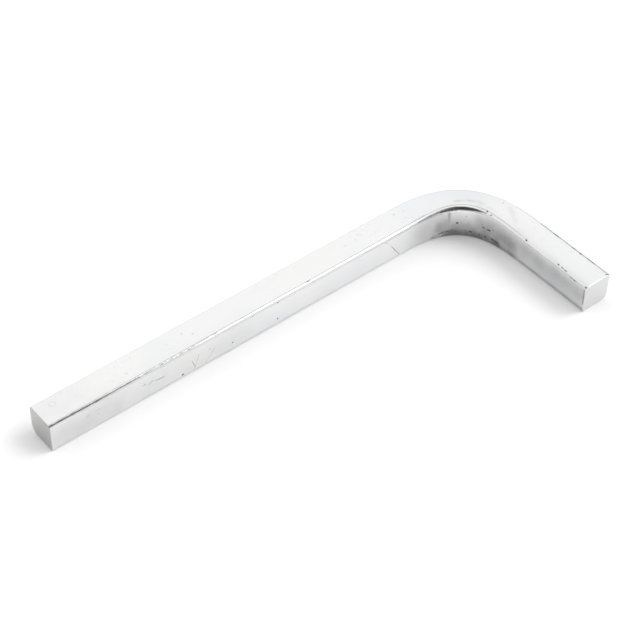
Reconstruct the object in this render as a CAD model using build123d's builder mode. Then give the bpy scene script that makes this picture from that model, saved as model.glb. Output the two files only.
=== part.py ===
"""L-shaped square key: one length of square steel bar, bent through a right angle.

The key lies flat. +Z is up and the underside is at Z = 0. The long arm runs along X and the short arm
points towards -Y from its +X end. The origin is under the middle of the key's box.
"""

import os
from math import cos, pi, radians, sin

from build123d import *

# Driving dimensions, in millimetres
SIDE = 6.0  # across the flats of the bar
LONG_ARM = 97.6  # from the tip to the outer side of the short arm
SHORT_ARM = 37.3  # from the tip to the outer side of the long arm
EDGE_RADIUS = 0.4  # along the four edges of the bar
TIP_BREAK = 0.2  # round the rim of each end face

# The bend. Its curvature swells from nothing to a peak and dies away again.
TURN = radians(90)
BEND_LENGTH = 34.8  # along the middle of the bar
BEND_RISE = 1.3  # how far the squeezed inner edge stands above the top face
BEND_SWELL = 0.4  # how far the squeezed inner side stands out
BEND_STATIONS = 24  # spaces between the sections that shape the bend
CHORDS = 2400  # short chords that the middle line of the bend is added up from

# The lower outer edge is rounder at each tip, where the bar was cut off
CUT_LENGTH = 4.0
LONG_TIP_RADIUS = 1.5
SHORT_TIP_RADIUS = 1.0

HALF = SIDE / 2


def squeeze(share):
    """How hard the bar is bent at this share of the bend's length: 0 at its ends, 1 in the middle."""
    return (1 - cos(2 * pi * share)) / 2


def heading(share):
    """How far the bar has turned, in radians, at this share of the bend's length."""
    return TURN * (share - sin(2 * pi * share) / (2 * pi))


def travel(share):
    """The way from the start of the bend's middle line to this share of its length."""
    chord = BEND_LENGTH / CHORDS
    angles = [heading((step + 0.5) / CHORDS) for step in range(round(CHORDS * share))]
    return Vector(chord * sum(map(cos, angles)), -chord * sum(map(sin, angles)), 0)


LONG_TIP = Vector(-LONG_ARM / 2, SHORT_ARM / 2 - HALF, HALF)
SHORT_TIP = Vector(LONG_ARM / 2 - HALF, -SHORT_ARM / 2, HALF)
BEND_START = Vector(SHORT_TIP.X - travel(1).X, LONG_TIP.Y, HALF)
BEND_END = BEND_START + travel(1)


def across_bar(middle, angle):
    """The plane square to the bar at a point of its middle line: X to the outer side, Y up."""
    outward = (sin(angle), cos(angle), 0)
    along = (cos(angle), -sin(angle), 0)
    return Plane(origin=middle, x_dir=outward, z_dir=along)


def bar_section(plane, pressed=0.0, lower_outer_radius=EDGE_RADIUS):
    """A square with rounded corners, thickened at its inner side where the bend presses it."""
    inner = -HALF - BEND_SWELL * pressed
    corners = [(HALF, -HALF), (HALF, HALF), (inner, HALF + BEND_RISE * pressed), (inner, -HALF)]
    radii = [lower_outer_radius, EDGE_RADIUS, EDGE_RADIUS, EDGE_RADIUS]
    with BuildSketch(plane) as section:
        with BuildLine():
            FilletPolyline(*corners, radius=radii, close=True)
        make_face()
    return section.sketch


def arm(bend_face, tip, angle, tip_radius):
    """The straight bar from where the bend ends to a tip, with its rounder edge at the cut."""
    outward = (tip - bend_face).normalized()
    cut_start = tip - outward * CUT_LENGTH
    plain_section = bar_section(across_bar(bend_face, angle))
    extrude(plain_section, amount=(cut_start - bend_face).length, dir=outward)
    last_plain_section = bar_section(across_bar(cut_start, angle))
    tip_section = bar_section(across_bar(tip, angle), lower_outer_radius=tip_radius)
    loft([last_plain_section, tip_section], ruled=True)


def bend_sections():
    """The sections that shape the bend, from the long arm round to the short one."""
    for station in range(BEND_STATIONS + 1):
        share = station / BEND_STATIONS
        middle = BEND_START + travel(share)
        yield bar_section(across_bar(middle, heading(share)), pressed=squeeze(share))


with BuildPart() as square_key:
    arm(BEND_START, LONG_TIP, 0, LONG_TIP_RADIUS)
    arm(BEND_END, SHORT_TIP, TURN, SHORT_TIP_RADIUS)
    loft(list(bend_sections()))

    long_tip_face = square_key.faces().sort_by(Axis.X)[0]
    short_tip_face = square_key.faces().sort_by(Axis.Y)[0]
    fillet(long_tip_face.edges() + short_tip_face.edges(), radius=TIP_BREAK)

square_key.part.label = "square_key"

os.makedirs("parts", exist_ok=True)
export_step(square_key.part, "parts/square_key.step")
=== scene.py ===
"""The L-shaped square key in Blender: its detailed mesh, its plated steel, and a plain pale studio.

The CAD model gives the key's size and place. The mesh repeats the bar's section and bend with finer
steps and adds what handling leaves on such a key: dents, chips, pits and scratches. The plating's colour
also holds painted shade in the bend's inside, on the short arm's inner side and on the long tip's cut
face, and painted dark lines along the upper inner edge where that edge reflects dim places.
"""

from math import cos, pi, radians, sin

import bpy
import numpy as np
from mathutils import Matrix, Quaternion, Vector, noise


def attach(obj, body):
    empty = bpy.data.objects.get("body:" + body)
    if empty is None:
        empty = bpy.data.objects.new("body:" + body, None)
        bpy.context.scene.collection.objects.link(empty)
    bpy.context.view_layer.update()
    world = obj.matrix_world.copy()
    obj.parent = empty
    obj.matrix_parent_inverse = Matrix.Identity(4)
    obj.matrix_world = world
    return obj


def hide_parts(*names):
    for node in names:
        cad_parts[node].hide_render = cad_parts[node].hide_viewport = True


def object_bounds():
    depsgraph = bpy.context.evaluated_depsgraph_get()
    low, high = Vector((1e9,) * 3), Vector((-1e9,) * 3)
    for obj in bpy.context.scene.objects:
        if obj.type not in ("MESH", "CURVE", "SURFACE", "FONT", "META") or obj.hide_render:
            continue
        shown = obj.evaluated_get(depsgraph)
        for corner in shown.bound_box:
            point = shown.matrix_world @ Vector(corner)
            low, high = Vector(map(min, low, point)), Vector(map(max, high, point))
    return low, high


MM = 0.001

# The bar, as in the CAD model
SIDE = 6.0 * MM
HALF = SIDE / 2
EDGE_RADIUS = 0.4 * MM
TIP_BREAK = 0.12 * MM
BEND_LENGTH = 34.8 * MM
BEND_RISE = 1.3 * MM
BEND_SWELL = 0.4 * MM
CUT_LENGTH = 4.0 * MM
LONG_TIP_RADIUS = 1.5 * MM
SHORT_TIP_RADIUS = 1.0 * MM
TURN = radians(90)

# Finer shape than the CAD model's
BEND_EDGE_GROWTH = 0.55 * MM  # how much rounder the bend's upper inner edge is
FLATNESS = 0.3  # how far the rounded edges are pressed flat, from an arc towards a bevel
WAVE_HEIGHT, WAVE_SIZE = 0.006 * MM, 9 * MM
CUT_WAVE_HEIGHT, CUT_WAVE_SIZE = 0.010 * MM, 2.5 * MM  # on the cut ends only
CHIP_DEPTH = 0.04 * MM

# The mesh
BEND_SAMPLES = 4000  # for the bend's reach
STATIONS = 750
FLAT_STEPS = (18, 26, 30, 12)  # outer side, top, inner side, underside
CORNER_STEPS = 6
RIM_STEPS = 5
CAP_STEPS = 12

# Distances round the bar's section, from the underside's outer end: each corner, then the flat after it
CORNER_RUN = pi / 2 * EDGE_RADIUS
FLAT_RUN = SIDE - 2 * EDGE_RADIUS
QUARTER = CORNER_RUN + FLAT_RUN
LOWER_OUTER, UPPER_OUTER, UPPER_INNER, LOWER_INNER = (CORNER_RUN / 2 + k * QUARTER for k in range(4))
OUTER_SIDE, TOP, INNER_SIDE, UNDERSIDE = (CORNER_RUN + FLAT_RUN / 2 + k * QUARTER for k in range(4))

# The camera
AZIMUTH = radians(-40.59)
ELEVATION = radians(45.25)
ROLL = radians(1.555)
DISTANCE = 316.6 * MM
LENS = 102.2
SENSOR = 36.0
CLIP_RANGE = (0.01, 10.0)
AIM_FROM_CORNER = Vector((-45.76, -12.01, 3.0)) * MM  # from the outer corner of the L

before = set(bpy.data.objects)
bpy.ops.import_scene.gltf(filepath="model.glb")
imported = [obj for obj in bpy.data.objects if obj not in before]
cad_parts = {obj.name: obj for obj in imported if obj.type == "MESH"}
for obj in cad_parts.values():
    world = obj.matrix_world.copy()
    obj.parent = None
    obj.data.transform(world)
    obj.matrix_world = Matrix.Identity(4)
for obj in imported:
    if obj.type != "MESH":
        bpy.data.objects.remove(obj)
cad_low, cad_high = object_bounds()


# --- The bar's line and section ---


def bend_reach():
    """How far the bend's middle line travels along the long arm, which is also how far across."""
    shares = (np.arange(BEND_SAMPLES) + 0.5) / BEND_SAMPLES
    return BEND_LENGTH * float(np.cos(TURN * (shares - np.sin(2 * pi * shares) / (2 * pi))).mean())


def bar_line():
    """Stations along the bar's middle line: distance from the long tip, place, turn and squeeze."""
    reach = bend_reach()
    long_straight = cad_high.x - cad_low.x - HALF - reach
    short_straight = cad_high.y - cad_low.y - HALF - reach
    along = np.linspace(0, long_straight + BEND_LENGTH + short_straight, STATIONS)
    share = np.clip((along - long_straight) / BEND_LENGTH, 0, 1)
    turn = TURN * (share - np.sin(2 * pi * share) / (2 * pi))
    step = along[1]

    def travelled(rate):
        return np.concatenate([[0], np.cumsum((rate[1:] + rate[:-1]) / 2 * step)])

    x, y = cad_low.x + travelled(np.cos(turn)), cad_high.y - HALF - travelled(np.sin(turn))
    middle = np.stack([x, y], axis=1)
    return along, middle, turn, (1 - np.cos(2 * pi * share)) / 2


def unit(vectors):
    return vectors / np.linalg.norm(vectors, axis=-1, keepdims=True)


def rounded_section(pressed, radii, inset):
    """The section's outline for each station: points across and up, from the lower outer corner."""
    one = np.ones_like(pressed)
    low, high, outer = -HALF + inset, HALF - inset, HALF - inset
    inner = -HALF - BEND_SWELL * pressed + inset
    corners = np.stack([
        np.stack([outer * one, low * one], -1),
        np.stack([outer * one, high * one], -1),
        np.stack([inner, high + BEND_RISE * pressed], -1),
        np.stack([inner, low * one], -1),
    ], axis=1)
    arcs = []
    for k in range(4):
        corner = corners[:, k]
        before, after = unit(corners[:, k - 1] - corner), unit(corners[:, (k + 1) % 4] - corner)
        radius = (radii[:, k] - inset)[:, None]
        half_angle = np.arccos(np.clip((before * after).sum(-1), -1, 1)) / 2
        centre = corner + unit(before + after) * radius / np.sin(half_angle)[:, None]
        start = corner + before * radius / np.tan(half_angle)[:, None] - centre
        sweep = (pi - 2 * half_angle)[:, None] * np.linspace(0, 1, CORNER_STEPS + 1)[None]
        turned = np.stack([
            start[:, :1] * np.cos(sweep) - start[:, 1:] * np.sin(sweep),
            start[:, :1] * np.sin(sweep) + start[:, 1:] * np.cos(sweep),
        ], axis=-1)
        arc = centre[:, None] + turned
        share = np.linspace(0, 1, CORNER_STEPS + 1)[None, :, None]
        bevel = arc[:, :1] * (1 - share) + arc[:, -1:] * share
        arcs.append(arc * (1 - FLATNESS) + bevel * FLATNESS)
    outline = []
    for k in range(4):
        outline.append(arcs[k])
        run = np.linspace(0, 1, FLAT_STEPS[k] + 1)[None, 1:-1, None]
        outline.append(arcs[k][:, -1:] * (1 - run) + arcs[(k + 1) % 4][:, :1] * run)
    return np.concatenate(outline, axis=1)


def bar_rows():
    """The rows of points along the key's skin, tip to tip, with each row's distance along it.

    Each end is a flat cap drawn in towards its middle, then a rounded rim. Returns the points, the
    distances, and how far each row lies on an end face, from 0 on the sides to 1 in the middle.
    """
    along, middle, turn, pressed = bar_line()
    length = along[-1]
    lean = np.linspace(0, pi / 2, RIM_STEPS + 1)[1:]
    body = (along >= TIP_BREAK) & (along <= length - TIP_BREAK)
    rim_along, rim_inset = TIP_BREAK * (1 - np.sin(lean)), TIP_BREAK * (1 - np.cos(lean))
    rows = np.concatenate([rim_along[::-1], along[body], length - rim_along])
    inset = np.concatenate([rim_inset[::-1], np.zeros(body.sum()), rim_inset])

    def at_rows(values):
        return np.interp(rows, along, values)

    squeeze, angle = at_rows(pressed), at_rows(turn)
    radii = np.full((len(rows), 4), EDGE_RADIUS)
    long_cut = np.clip(1 - rows / CUT_LENGTH, 0, 1)
    short_cut = np.clip(1 - (length - rows) / CUT_LENGTH, 0, 1)
    radii[:, 0] += (LONG_TIP_RADIUS - EDGE_RADIUS) * long_cut
    radii[:, 0] += (SHORT_TIP_RADIUS - EDGE_RADIUS) * short_cut
    radii[:, 2] += BEND_EDGE_GROWTH * squeeze**2
    outline = rounded_section(squeeze, radii, inset)
    points = np.zeros(outline.shape[:2] + (3,))
    points[..., 0] = at_rows(middle[:, 0])[:, None] + np.sin(angle)[:, None] * outline[..., 0]
    points[..., 1] = at_rows(middle[:, 1])[:, None] + np.cos(angle)[:, None] * outline[..., 0]
    points[..., 2] = HALF + outline[..., 1]
    shrink = (np.arange(1, CAP_STEPS) / CAP_STEPS)[:, None, None]
    caps = []
    for rim, (centre_x, centre_y) in ((points[0], middle[0]), (points[-1], middle[-1])):
        centre = np.array([centre_x, centre_y, HALF])
        caps.append(centre + (rim - centre)[None] * shrink)
    points = np.concatenate([caps[0], points, caps[1][::-1]])
    depth = HALF * (1 - shrink[:, 0, 0])
    distance = np.concatenate([-depth, rows, length + depth[::-1]])
    edge_share = np.clip(1 - np.minimum(rows, length - rows) / TIP_BREAK, 0, 1)
    on_end = np.concatenate([np.ones(len(depth)), edge_share, np.ones(len(depth))])
    return points, distance, on_end


def surface_normals(points):
    along = np.gradient(points, axis=0)
    around = np.roll(points, -1, axis=1) - np.roll(points, 1, axis=1)
    return unit(np.cross(around, along))


def around_bar():
    """Distance round the section of each point of a row."""
    arc = np.linspace(0, CORNER_RUN, CORNER_STEPS + 1)
    places = []
    for k, steps in enumerate(FLAT_STEPS):
        flat = CORNER_RUN + np.linspace(0, FLAT_RUN, steps + 1)[1:-1]
        places += [k * QUARTER + arc, k * QUARTER + flat]
    return np.concatenate(places)


# --- Wear, and painted shade ---


def spot(along_mm, place, offset_mm=0.0):
    """A point on the bar's skin: distance from the long tip, and place round the section."""
    return along_mm * MM, place + offset_mm * MM


def line(start, end, width_mm, strength):
    return start, end, width_mm * MM, strength


def dot(centre, length_mm, width_mm, strength):
    """A short mark that runs along the bar."""
    half = max(length_mm - width_mm, 0) / 2 * MM
    return (centre[0] - half, centre[1]), (centre[0] + half, centre[1]), width_mm * MM, strength


# Dark spots where the plating is gone, and painted dark lines in the bend's upper edge
CHIPS_AND_PAINTED_SHADE = [
    dot(spot(90.0, INNER_SIDE), 0.8, 0.38, 1.0),
    dot(spot(92.2, UPPER_INNER, 1.4), 0.4, 0.3, 0.75),
    dot(spot(96.9, INNER_SIDE), 0.6, 0.3, 1.0),
    dot(spot(98.4, INNER_SIDE, 0.1), 0.9, 0.32, 1.0),
    dot(spot(99.5, INNER_SIDE, -0.3), 0.5, 0.28, 0.75),
    dot(spot(93.7, LOWER_INNER, -1.2), 0.8, 0.35, 1.0),
    dot(spot(96.1, LOWER_INNER, -1.2), 0.5, 0.3, 0.8),
    dot(spot(97.6, LOWER_INNER, -1.1), 0.6, 0.35, 1.0),
    line(spot(99.3, LOWER_INNER, -1.3), spot(99.9, LOWER_INNER, -1.1), 0.38, 1.0),
    line(spot(100.3, LOWER_INNER, -1.1), spot(101.0, LOWER_INNER, -1.0), 0.35, 1.0),
    line(spot(85.4, LOWER_INNER, -0.9), spot(86.6, LOWER_INNER, -1.2), 0.3, 0.85),
    line(spot(87.1, LOWER_INNER, -1.1), spot(88.1, LOWER_INNER, -1.2), 0.3, 0.9),
    dot(spot(88.6, LOWER_INNER, -1.3), 0.4, 0.35, 1.0),
    dot(spot(83.9, LOWER_INNER, -0.7), 0.4, 0.3, 0.7),
    dot(spot(85.6, INNER_SIDE, -0.4), 0.4, 0.3, 0.6),
    dot(spot(97.1, UPPER_INNER, -0.25), 0.5, 0.35, 0.9),
    dot(spot(98.4, UPPER_INNER, -0.1), 0.4, 0.28, 0.7),
    dot(spot(107.5, UPPER_INNER, -0.25), 0.55, 0.38, 1.0),
    dot(spot(98.1, UPPER_OUTER, 1.2), 0.5, 0.28, 0.65),
    # Painted reflection: the dark line that runs into the bend's upper edge, continuing the dark crescent
    # the bend reflects
    line(spot(82.0, UPPER_INNER, 0.1), spot(86.0, UPPER_INNER, 0.1), 0.32, 0.5),
    line(spot(85.5, UPPER_INNER, 0.15), spot(89.5, UPPER_INNER, 0.1), 0.36, 0.7),
    dot(spot(109.9, UPPER_OUTER, 0.3), 1.5, 0.4, 0.85),
    dot(spot(114.3, UPPER_OUTER, 0.3), 1.0, 0.4, 0.85),
    dot(spot(116.1, UPPER_OUTER, 0.35), 0.6, 0.5, 1.0),
    dot(spot(118.6, UPPER_OUTER, 0.3), 2.2, 0.35, 0.75),
    dot(spot(114.8, UPPER_OUTER, 1.4), 0.5, 0.35, 0.6),
    line(spot(122.9, UPPER_OUTER, 0.2), spot(122.8, UPPER_OUTER, 0.9), 0.3, 0.85),
    dot(spot(115.7, UPPER_INNER, -0.3), 0.5, 0.4, 0.95),
    dot(spot(116.7, UPPER_INNER, -0.25), 0.6, 0.28, 0.85),
    dot(spot(117.5, UPPER_INNER, -0.2), 0.8, 0.28, 0.75),
    dot(spot(119.2, UPPER_INNER, 0.25), 0.9, 0.28, 0.65),
    dot(spot(120.1, UPPER_INNER, 0.3), 0.8, 0.3, 0.8),
    dot(spot(122.7, UPPER_INNER, 0.0), 0.4, 0.4, 1.0),
    dot(spot(123.2, OUTER_SIDE, 1.0), 0.25, 0.25, 0.7),
    dot(spot(123.2, OUTER_SIDE, 0.1), 0.25, 0.3, 0.7),
    dot(spot(26.6, LOWER_INNER, -0.8), 0.6, 0.38, 0.9),
    dot(spot(37.3, INNER_SIDE, 1.2), 0.4, 0.38, 0.85),
    dot(spot(47.2, LOWER_INNER, -1.4), 0.45, 0.42, 0.9),
    dot(spot(41.7, UPPER_INNER, 0.4), 0.5, 0.3, 0.85),
    dot(spot(47.2, UPPER_INNER, 0.5), 0.5, 0.35, 0.9),
    dot(spot(54.3, UPPER_INNER, -0.3), 0.9, 0.28, 0.8),
    dot(spot(28.2, UPPER_INNER), 0.4, 0.25, 0.6),
    # The dark line along the upper inner edge from the long tip
    line(spot(0.2, UPPER_INNER, -0.1), spot(3.5, UPPER_INNER, -0.1), 0.5, 0.8),
    line(spot(3.5, UPPER_INNER, -0.1), spot(10.0, UPPER_INNER, -0.05), 0.55, 0.75),
    line(spot(10.0, UPPER_INNER, -0.05), spot(18.0, UPPER_INNER, -0.1), 0.5, 0.66),
    line(spot(18.0, UPPER_INNER, -0.1), spot(34.0, UPPER_INNER, -0.15), 0.42, 0.58),
    line(spot(67.3, UPPER_INNER, -0.3), spot(67.5, UPPER_INNER, 0.4), 0.2, 0.6),
    line(spot(72.0, UPPER_INNER, 0.7), spot(72.6, UPPER_INNER, 1.1), 0.25, 0.6),
    dot(spot(73.3, INNER_SIDE, -0.9), 0.4, 0.25, 0.6),
    dot(spot(74.4, INNER_SIDE, 1.0), 0.5, 0.2, 0.6),
    dot(spot(70.0, LOWER_INNER, -0.6), 0.6, 0.25, 0.6),
    dot(spot(64.3, LOWER_INNER, -0.9), 0.6, 0.2, 0.6),
    dot(spot(56.1, LOWER_INNER, -0.7), 0.5, 0.2, 0.6),
]

# Faint scratches and rubbed places, and painted dark lines along the long arm's upper inner edge
SCUFFS_AND_PAINTED_SHADE = [
    line(spot(30.1, INNER_SIDE, -0.6), spot(29.0, LOWER_INNER, -0.6), 0.2, 0.75),
    line(spot(28.6, INNER_SIDE, 0.1), spot(29.2, LOWER_INNER, -0.9), 0.2, 0.7),
    line(spot(33.4, INNER_SIDE, 0.1), spot(31.4, LOWER_INNER, -0.6), 0.2, 0.75),
    dot(spot(32.3, INNER_SIDE, -0.3), 0.5, 0.25, 0.7),
    dot(spot(18.7, INNER_SIDE, -0.5), 0.7, 0.3, 0.8),
    line(spot(19.5, INNER_SIDE, 0.0), spot(20.4, INNER_SIDE, -0.5), 0.25, 0.8),
    line(spot(20.9, INNER_SIDE, -0.1), spot(22.7, INNER_SIDE, 0.1), 0.25, 0.9),
    line(spot(73.6, INNER_SIDE, -0.5), spot(75.6, LOWER_INNER, -0.5), 0.3, 0.7),
    dot(spot(7.3, INNER_SIDE, -0.7), 1.1, 0.9, 0.4),
    dot(spot(9.3, INNER_SIDE, -1.0), 1.2, 0.3, 0.5),
    dot(spot(30.8, TOP, 0.3), 0.5, 0.4, 0.6),
    dot(spot(29.3, TOP, -0.8), 0.3, 1.0, 0.35),
    dot(spot(69.0, TOP, -1.2), 1.1, 0.8, 0.3),
    dot(spot(77.6, TOP, -1.2), 0.4, 0.4, 0.8),
    dot(spot(54.8, UPPER_OUTER, 1.2), 0.5, 0.5, 0.5),
    dot(spot(51.2, UPPER_OUTER, 0.7), 0.5, 0.4, 0.5),
    line(spot(78.6, TOP, 0.6), spot(79.9, UPPER_INNER, -1.3), 0.25, 0.4),
    line(spot(87.7, UPPER_INNER, 0.6), spot(88.0, LOWER_INNER, -1.3), 0.5, 0.3),
    line(spot(84.7, INNER_SIDE, -0.9), spot(86.2, INNER_SIDE, 0.4), 0.3, 0.3),
    line(spot(122.6, UPPER_INNER, 0.7), spot(122.8, INNER_SIDE, 1.2), 0.3, 0.9),
    # Painted reflection: dark lines that border the bright line of the long arm's upper inner edge, where
    # that edge reflects the dim studio
    line(spot(9.0, UPPER_INNER, -0.1), spot(30.0, UPPER_INNER, -0.1), 0.6, 0.6),
    line(spot(30.0, UPPER_INNER, -0.3), spot(82.0, UPPER_INNER, -0.4), 0.3, 0.75),
    line(spot(6.0, UPPER_INNER, 0.4), spot(86.0, UPPER_INNER, 0.45), 0.22, 0.7),
    line(spot(80.0, UPPER_INNER, 0.2), spot(88.5, UPPER_INNER, 0.1), 0.35, 0.8),
    # The short arm's outer edge, and the long arm's lower edge
    line(spot(100.0, UPPER_OUTER, 0.3), spot(106.0, UPPER_OUTER, 0.3), 0.3, 0.55),
    line(spot(106.0, UPPER_OUTER, 0.3), spot(122.6, UPPER_OUTER, 0.3), 0.4, 0.9),
    line(spot(18.0, LOWER_INNER, -0.45), spot(60.0, LOWER_INNER, -0.45), 0.3, 0.5),
    line(spot(60.0, LOWER_INNER, -0.45), spot(84.0, LOWER_INNER, -0.45), 0.3, 0.4),
]

# Long soft smears that dull the top face round the bend
SMEARS = [
    line(spot(89.6, UPPER_INNER, -1.3), spot(93.4, TOP, 1.2), 0.8, 1.0),
    line(spot(92.0, TOP, 1.2), spot(95.6, TOP, 1.1), 1.2, 0.6),
    line(spot(96.5, TOP, 1.5), spot(98.5, UPPER_INNER, -1.1), 0.8, 0.5),
    line(spot(100.0, TOP, -1.2), spot(103.0, TOP, 0.8), 1.5, 0.5),
]

# Painted shade: broad darkening in the bend's inside and low along it, and along the short arm's inner
# side, which faces away from the lamp
PAINTED_SHADE = [
    line(spot(81.5, INNER_SIDE, 0.5), spot(87.0, INNER_SIDE, 0.5), 6.0, 0.4),
    line(spot(85.5, INNER_SIDE, 0.5), spot(87.6, INNER_SIDE, 0.5), 4.4, 0.8),
    line(spot(87.7, UPPER_INNER, 0.8), spot(88.0, LOWER_INNER, -1.0), 1.0, 0.85),
    line(spot(84.0, LOWER_INNER, -0.4), spot(88.0, LOWER_INNER, -0.4), 2.0, 0.8),
    line(spot(87.5, LOWER_INNER, -0.3), spot(100.5, LOWER_INNER, -0.2), 4.2, 1.35),
    line(spot(100.0, LOWER_INNER, -0.2), spot(105.0, LOWER_INNER, -0.2), 3.2, 1.0),
    line(spot(104.0, LOWER_INNER, -0.3), spot(123.0, LOWER_INNER, -0.3), 1.2, 0.8),
    line(spot(88.0, INNER_SIDE, 1.0), spot(98.0, INNER_SIDE, 1.0), 4.6, 0.8),
    line(spot(96.0, INNER_SIDE, 0.0), spot(104.0, INNER_SIDE, 0.2), 5.4, 0.85),
    line(spot(104.0, INNER_SIDE, -1.0), spot(124.0, INNER_SIDE, -1.0), 4.6, 0.55),
    # Painted shade on the long arm's inner side and top, darker towards the long tip
    line(spot(0.0, INNER_SIDE, 0.3), spot(12.0, INNER_SIDE, 0.3), 8.0, 0.26),
    line(spot(12.0, INNER_SIDE, 0.3), spot(38.0, INNER_SIDE, 0.3), 8.0, 0.12),
    line(spot(0.0, TOP), spot(6.0, TOP), 9.0, 0.1),
]

# The round stamp near the long tip: its middle, radius, line width and strength
RING_PLACE, RING_RADIUS, RING_LINE, RING_STRENGTH = spot(3.2, TOP, -1.0), 0.55 * MM, 0.15 * MM, 0.38

# Painted shade in part: the long tip's cut face turns from the lamp and is painted darker than the short
# tip's
SHORT_TIP_CUT_AND_SHADE = 0.35  # how dull the short tip's face is beside the long tip's


def marked(marks, distance, around):
    """How strongly each point of the skin is marked: 1 in a mark's middle, fading at its edge."""
    field = np.zeros((len(distance), len(around)))
    full_turn = 4 * QUARTER
    for (start, start_place), (end, end_place), width, strength in marks:
        first, last = min(start, end) - 2 * width, max(start, end) + 2 * width
        near = np.flatnonzero((distance > first) & (distance < last))
        along = (distance[near] - start)[:, None]
        across = ((around - start_place + full_turn / 2) % full_turn - full_turn / 2)[None]
        reach, rise = end - start, end_place - start_place
        share = np.clip((along * reach + across * rise) / max(reach**2 + rise**2, 1e-12), 0, 1)
        gap = np.hypot(along - share * reach, across - share * rise) / (width / 2)
        field[near] = np.maximum(field[near], strength * np.exp(-(gap**2)))
    return field


def ring_mark(distance, around):
    """A faint round stamp of some other tool near the long tip."""
    gap = np.hypot((distance - RING_PLACE[0])[:, None], (around - RING_PLACE[1])[None])
    return RING_STRENGTH * np.exp(-(((gap - RING_RADIUS) / RING_LINE) ** 2))


def ripple(points, size, seed):
    """Smooth noise in the place of each point, about -1 to 1, with bumps of this size in metres."""
    offset = Vector((seed * 7.3, seed * 3.1, seed * 5.7))
    flat = points.reshape(-1, 3) / size
    values = [noise.noise(Vector(point) + offset) for point in flat]
    return np.array(values).reshape(points.shape[:-1])


def key_mesh():
    """The whole skin as one closed mesh, with its wear and painted shade in attributes that the plating
    reads.
    """
    points, distance, on_end = bar_rows()
    around = around_bar()
    normals = surface_normals(points)
    chips_and_painted_shade = marked(CHIPS_AND_PAINTED_SHADE, distance, around)
    scuffs_and_painted_shade = np.maximum(marked(SCUFFS_AND_PAINTED_SHADE, distance, around), ring_mark(distance, around))
    height = WAVE_HEIGHT * ripple(points, WAVE_SIZE, 1)
    height = height + CUT_WAVE_HEIGHT * ripple(points, CUT_WAVE_SIZE, 2) * on_end[:, None]
    height = height - CHIP_DEPTH * chips_and_painted_shade
    points = points + normals * height[..., None]
    np.clip(points[..., 2], 0, None, out=points[..., 2])

    rows, columns = points.shape[:2]
    index = np.arange(rows * columns).reshape(rows, columns)
    following = np.roll(index, -1, axis=1)
    quads = np.stack([index[:-1], following[:-1], following[1:], index[1:]], axis=-1).reshape(-1, 4)
    first, last = rows * columns, rows * columns + 1
    centres = [points[0].mean(axis=0), points[-1].mean(axis=0)]
    fans = [(first, b, a) for a, b in zip(index[0], following[0])]
    fans += [(last, a, b) for a, b in zip(index[-1], following[-1])]
    vertices = np.concatenate([points.reshape(-1, 3), centres])
    mesh = bpy.data.meshes.new("key_skin")
    mesh.from_pydata(vertices.tolist(), [], quads.tolist() + fans)

    # Cut ends: partly their own duller finish, partly painted shade, in full on the long tip's face, which
    # turns from the lamp
    cut_face_and_shade = np.clip(2 * on_end, 0, 1) * np.where(distance < SIDE, 1.0, SHORT_TIP_CUT_AND_SHADE)
    fields = {
        "chip_and_painted_shade": chips_and_painted_shade,
        "scuff_and_painted_shade": scuffs_and_painted_shade,
        "smear": marked(SMEARS, distance, around),
        # Painted shade, kept off the end faces
        "painted_shade": marked(PAINTED_SHADE, distance, around) * (1 - on_end)[:, None],
        "cut_face_and_shade": np.repeat(cut_face_and_shade[:, None], columns, axis=1),
        "end": np.repeat(on_end[:, None], columns, axis=1),
    }
    for name, field in fields.items():
        layer = mesh.attributes.new(name, "FLOAT", "POINT")
        values = np.concatenate([field.ravel(), field[[0, -1], 0]])
        layer.data.foreach_set("value", values.astype(np.float32))

    layout = mesh.uv_layers.new(name="bar")
    starts = np.append(around, 4 * QUARTER)
    column = np.tile(np.arange(columns), rows - 1)
    row = np.repeat(np.arange(rows - 1), columns)
    u = np.stack([distance[row], distance[row], distance[row + 1], distance[row + 1]], axis=1)
    v = np.stack([starts[column], starts[column + 1], starts[column + 1], starts[column]], axis=1)
    sides = np.stack([u, v], axis=-1).reshape(-1, 2)
    caps = np.zeros((3 * len(fans), 2))
    layout.data.foreach_set("uv", np.concatenate([sides, caps]).ravel().astype(np.float32))
    mesh.shade_smooth()
    mesh.validate()
    return mesh


# --- Materials ---


class Nodes:
    """A node tree with short calls for the nodes that the materials here are made of."""

    def __init__(self, tree):
        self.tree = tree
        tree.nodes.clear()

    def add(self, kind, inputs=(), **settings):
        node = self.tree.nodes.new(kind)
        for name, value in settings.items():
            setattr(node, name, value)
        for name, value in dict(inputs).items():
            if isinstance(value, bpy.types.NodeSocket):
                self.tree.links.new(value, node.inputs[name])
            else:
                node.inputs[name].default_value = value
        return node

    def math(self, operation, a, b=0.0, clamp=False):
        return self.add("ShaderNodeMath", {0: a, 1: b}, operation=operation, use_clamp=clamp).outputs[0]

    def attribute(self, name):
        return self.add("ShaderNodeAttribute", attribute_name=name).outputs["Fac"]

    def stretched(self, layout, along, across):
        inputs = {"Vector": layout, "Scale": (along, across, 1.0)}
        return self.add("ShaderNodeMapping", inputs).outputs[0]

    def noise(self, vector, scale, detail=2.0, roughness=0.5):
        inputs = {"Vector": vector, "Scale": scale, "Detail": detail, "Roughness": roughness}
        return self.add("ShaderNodeTexNoise", inputs).outputs["Fac"]

    def ramp(self, value, low, high, to_low=0.0, to_high=1.0):
        inputs = {"Value": value, "From Min": low, "From Max": high, "To Min": to_low, "To Max": to_high}
        return self.add("ShaderNodeMapRange", inputs, interpolation_type="SMOOTHSTEP").outputs["Result"]

    def blend(self, amount, a, b):
        node = self.add("ShaderNodeMix", data_type="RGBA")
        for socket, value in ((node.inputs[0], amount), (node.inputs[6], a), (node.inputs[7], b)):
            if isinstance(value, bpy.types.NodeSocket):
                self.tree.links.new(value, socket)
            else:
                socket.default_value = value
        return node.outputs[2]


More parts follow.
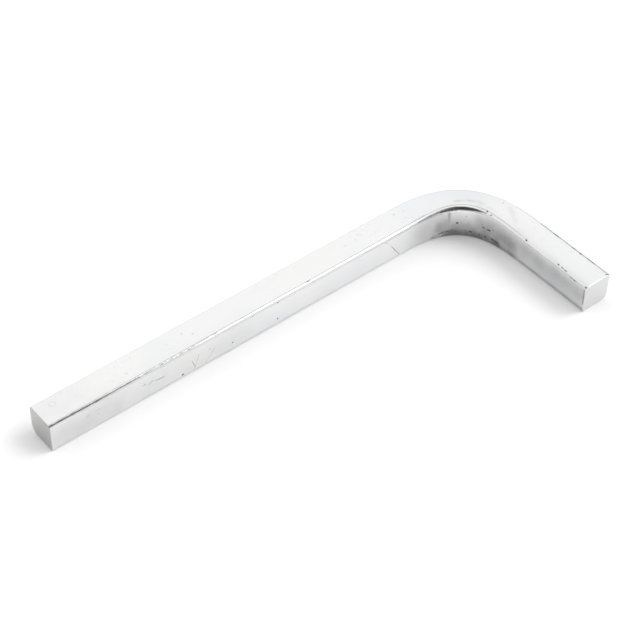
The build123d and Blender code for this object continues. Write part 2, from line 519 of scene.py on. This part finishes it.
def plated_steel():
    """Bright plating over drawn bar: faint lines along the bar, small specks, dark chips, scuffs, darker
    cut ends, and painted shade.
    """
    material = bpy.data.materials.new("plated_steel")
    material.use_nodes = True
    nodes = Nodes(material.node_tree)
    own = nodes.add("ShaderNodeTexCoord").outputs["Object"]
    layout = nodes.add("ShaderNodeUVMap", uv_map="bar").outputs["UV"]
    lines = nodes.noise(nodes.stretched(layout, 60.0, 2600.0), 1.0, 3.0, 0.6)
    streaks = nodes.noise(nodes.stretched(layout, 420.0, 300.0), 1.0, 3.0)
    clouds = nodes.noise(own, 45.0, 2.0, 0.5)
    grain = nodes.noise(own, 2200.0, 2.0, 0.6)
    end, cut_face_and_shade = nodes.attribute("end"), nodes.attribute("cut_face_and_shade")

    rough_edge = nodes.math("MULTIPLY", nodes.noise(own, 3500.0, 3.0), 0.5)
    # Chips, and the painted reflection in the bend's upper edge
    chip_and_painted_shade = nodes.ramp(nodes.math("ADD", nodes.attribute("chip_and_painted_shade"), rough_edge), 0.50, 1.0)
    # Scuffs and the stamp, and painted reflection: dark lines along the upper inner edge
    scuff_and_painted_shade = nodes.ramp(nodes.math("ADD", nodes.attribute("scuff_and_painted_shade"), rough_edge), 0.40, 1.1)
    # Painted shade in the bend's inside and on the short arm's inner side, broken up by the streaks
    painted_shade = nodes.math("MULTIPLY", nodes.attribute("painted_shade"), nodes.ramp(streaks, 0.3, 0.7, 0.8, 1.08))
    sparse = nodes.ramp(nodes.noise(own, 220.0, 1.0), 0.5, 0.62)
    specks = nodes.math("MULTIPLY", nodes.ramp(nodes.noise(own, 2900.0, 1.0), 0.69, 0.75), sparse)

    plating = nodes.blend(nodes.ramp(clouds, 0.35, 0.65), (0.81, 0.815, 0.83, 1), (0.85, 0.85, 0.845, 1))
    color = nodes.blend(nodes.math("MULTIPLY", specks, 0.35), plating, (0.30, 0.29, 0.28, 1))
    # Darker cut ends: partly the sheared faces' own finish, partly painted shade, heaviest on the long
    # tip's face
    color = nodes.blend(nodes.math("MULTIPLY", cut_face_and_shade, 0.72), color, (0.42, 0.42, 0.41, 1))
    # Painted shade darkens the plating here
    color = nodes.blend(nodes.math("MULTIPLY", painted_shade, 0.82), color, (0.24, 0.24, 0.245, 1))
    smear = nodes.math("MULTIPLY", nodes.attribute("smear"), nodes.ramp(streaks, 0.35, 0.65, 0.4, 1.2))
    color = nodes.blend(nodes.math("MULTIPLY", smear, 0.4), color, (0.45, 0.45, 0.46, 1))
    # Scuffs, and the painted dark lines along the upper inner edge
    color = nodes.blend(nodes.math("MULTIPLY", scuff_and_painted_shade, 0.75), color, (0.24, 0.24, 0.26, 1))
    # Bare metal at the chips, and painted reflection in the bend's upper edge
    color = nodes.blend(chip_and_painted_shade, color, (0.10, 0.095, 0.09, 1))

    gloss = nodes.ramp(clouds, 0.3, 0.7, 0.13, 0.18)
    gloss = nodes.math("ADD", gloss, nodes.math("MULTIPLY", lines, 0.04))
    gloss = nodes.math("ADD", gloss, nodes.math("MULTIPLY", cut_face_and_shade, 0.22))
    gloss = nodes.math("ADD", gloss, nodes.math("MULTIPLY", nodes.math("MAXIMUM", chip_and_painted_shade, scuff_and_painted_shade), 0.3))

    relief = nodes.math("MULTIPLY", lines, nodes.math("SUBTRACT", 1.0, end))
    relief = nodes.math("ADD", relief, nodes.math("MULTIPLY", grain, 0.35))
    relief = nodes.math("SUBTRACT", relief, nodes.math("MULTIPLY", nodes.math("ADD", chip_and_painted_shade, specks), 1.5))
    bump = nodes.add("ShaderNodeBump", {"Height": relief, "Strength": 0.2, "Distance": 0.00003}).outputs[0]
    inputs = {"Base Color": color, "Metallic": 1.0, "Roughness": gloss, "Normal": bump}
    shader = nodes.add("ShaderNodeBsdfPrincipled", inputs)
    nodes.add("ShaderNodeOutputMaterial", {"Surface": shader.outputs[0]})
    return material


def seen_plainly(nodes):
    """1 where a ray comes from the camera, a mirror or glass, so that the backdrop shows there."""
    ray = nodes.add("ShaderNodeLightPath")
    total = nodes.math("ADD", ray.outputs["Is Camera Ray"], ray.outputs["Is Transmission Ray"])
    return nodes.math("ADD", total, ray.outputs["Is Glossy Ray"], clamp=True)


def floor_material():
    """Pale matt paper, lifted to white where it is seen, that still takes the key's shadow."""
    material = bpy.data.materials.new("pale_floor")
    material.use_nodes = True
    nodes = Nodes(material.node_tree)
    paper = nodes.add("ShaderNodeBsdfDiffuse", {"Color": FLOOR_COLOR})
    lift = nodes.math("MULTIPLY", seen_plainly(nodes), FLOOR_LIFT)
    glow = nodes.add("ShaderNodeEmission", {"Color": (1, 1, 1, 1), "Strength": lift})
    both = nodes.add("ShaderNodeAddShader", {0: paper.outputs[0], 1: glow.outputs[0]})
    nodes.add("ShaderNodeOutputMaterial", {"Surface": both.outputs[0]})
    return material


# --- The studio ---

FLOOR_HALF = 1.2
FLOOR_COLOR = (0.82, 0.82, 0.82, 1)
FLOOR_LIFT = 0.16  # light the floor adds of its own where it is seen
SUN_STRENGTH = 1.3
SUN_WIDTH = radians(36)
SUN_AZIMUTH, SUN_ELEVATION = radians(68), radians(47)


def facing(azimuth, elevation):
    """The direction from the key towards a place at this azimuth and elevation."""
    return Vector((sin(azimuth) * cos(elevation), -cos(azimuth) * cos(elevation), sin(elevation)))


# The walls' brightness at three heights: the horizon, the low wall and the dome
HORIZON_TOP, LOW_WALL, DOME_FOOT = (sin(radians(height)) for height in (2, 13, 38))
HORIZON_LEVEL, LOW_LEVEL, DOME_LEVEL = 0.18, 1.03, 1.10
# Direction, half-widths of the dim middle and of its soft edge, and how dim it is
DIM_PLACES = [
    (facing(AZIMUTH, ELEVATION), radians(27), radians(35), 0.04),  # the open front, with the camera
    (facing(radians(113), radians(61)), radians(9), radians(17), 0.5),  # the gap between the lamps
]


def make_world():
    """A white studio, dim at the horizon, between its overhead lamps and round the camera."""
    world = bpy.data.worlds.new("studio")
    bpy.context.scene.world = world
    world.use_nodes = True
    nodes = Nodes(world.node_tree)
    way = nodes.add("ShaderNodeTexCoord").outputs["Generated"]
    height = nodes.add("ShaderNodeSeparateXYZ", {"Vector": way}).outputs["Z"]
    level = nodes.ramp(height, HORIZON_TOP, LOW_WALL, HORIZON_LEVEL, 1.0)
    upper = nodes.ramp(height, LOW_WALL, DOME_FOOT, LOW_LEVEL, DOME_LEVEL)
    level = nodes.math("MULTIPLY", level, upper)
    for direction, inner, outer, dimmed in DIM_PLACES:
        inputs = {0: way, 1: direction}
        nearness = nodes.add("ShaderNodeVectorMath", inputs, operation="DOT_PRODUCT").outputs["Value"]
        level = nodes.math("MULTIPLY", level, nodes.ramp(nearness, cos(outer), cos(inner), 1.0, dimmed))
    ray = nodes.add("ShaderNodeLightPath").outputs["Is Camera Ray"]
    white = nodes.math("MAXIMUM", level, ray)
    shader = nodes.add("ShaderNodeBackground", {"Color": (1, 1, 1, 1), "Strength": white})
    nodes.add("ShaderNodeOutputWorld", {"Surface": shader.outputs[0]})


def make_floor():
    mesh = bpy.data.meshes.new("floor")
    corners = [(x * FLOOR_HALF, y * FLOOR_HALF, 0) for x, y in ((-1, -1), (1, -1), (1, 1), (-1, 1))]
    mesh.from_pydata(corners, [], [(0, 1, 2, 3)])
    mesh.materials.append(floor_material())
    floor = bpy.data.objects.new("floor", mesh)
    bpy.context.collection.objects.link(floor)
    floor.location.z = cad_low.z


def make_sun():
    """One wide soft lamp from the right, which leaves the sides that face left in shade."""
    lamp = bpy.data.lights.new("side_light", "SUN")
    lamp.energy = SUN_STRENGTH
    lamp.angle = SUN_WIDTH
    sun = bpy.data.objects.new("side_light", lamp)
    sun.rotation_mode = "QUATERNION"
    sun.rotation_quaternion = facing(SUN_AZIMUTH, SUN_ELEVATION).to_track_quat("Z", "Y")
    bpy.context.collection.objects.link(sun)


def make_camera():
    lens = bpy.data.cameras.new("camera")
    lens.lens = LENS
    lens.sensor_width = SENSOR
    lens.clip_start, lens.clip_end = CLIP_RANGE
    camera = bpy.data.objects.new("camera", lens)
    back = facing(AZIMUTH, ELEVATION)
    aim = Vector((cad_high.x, cad_high.y, cad_low.z)) + AIM_FROM_CORNER
    camera.location = aim + back * DISTANCE
    camera.rotation_mode = "QUATERNION"
    camera.rotation_quaternion = back.to_track_quat("Z", "Y") @ Quaternion((0, 0, 1), ROLL)
    bpy.context.collection.objects.link(camera)
    bpy.context.scene.camera = camera


def make_key():
    key = bpy.data.objects.new("key", key_mesh())
    bpy.context.collection.objects.link(key)
    key.data.materials.append(plated_steel())
    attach(key, "root")
    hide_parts("square_key")


make_world()
make_floor()
make_sun()
make_camera()
make_key()
bpy.context.scene.view_settings.view_transform = "Standard"
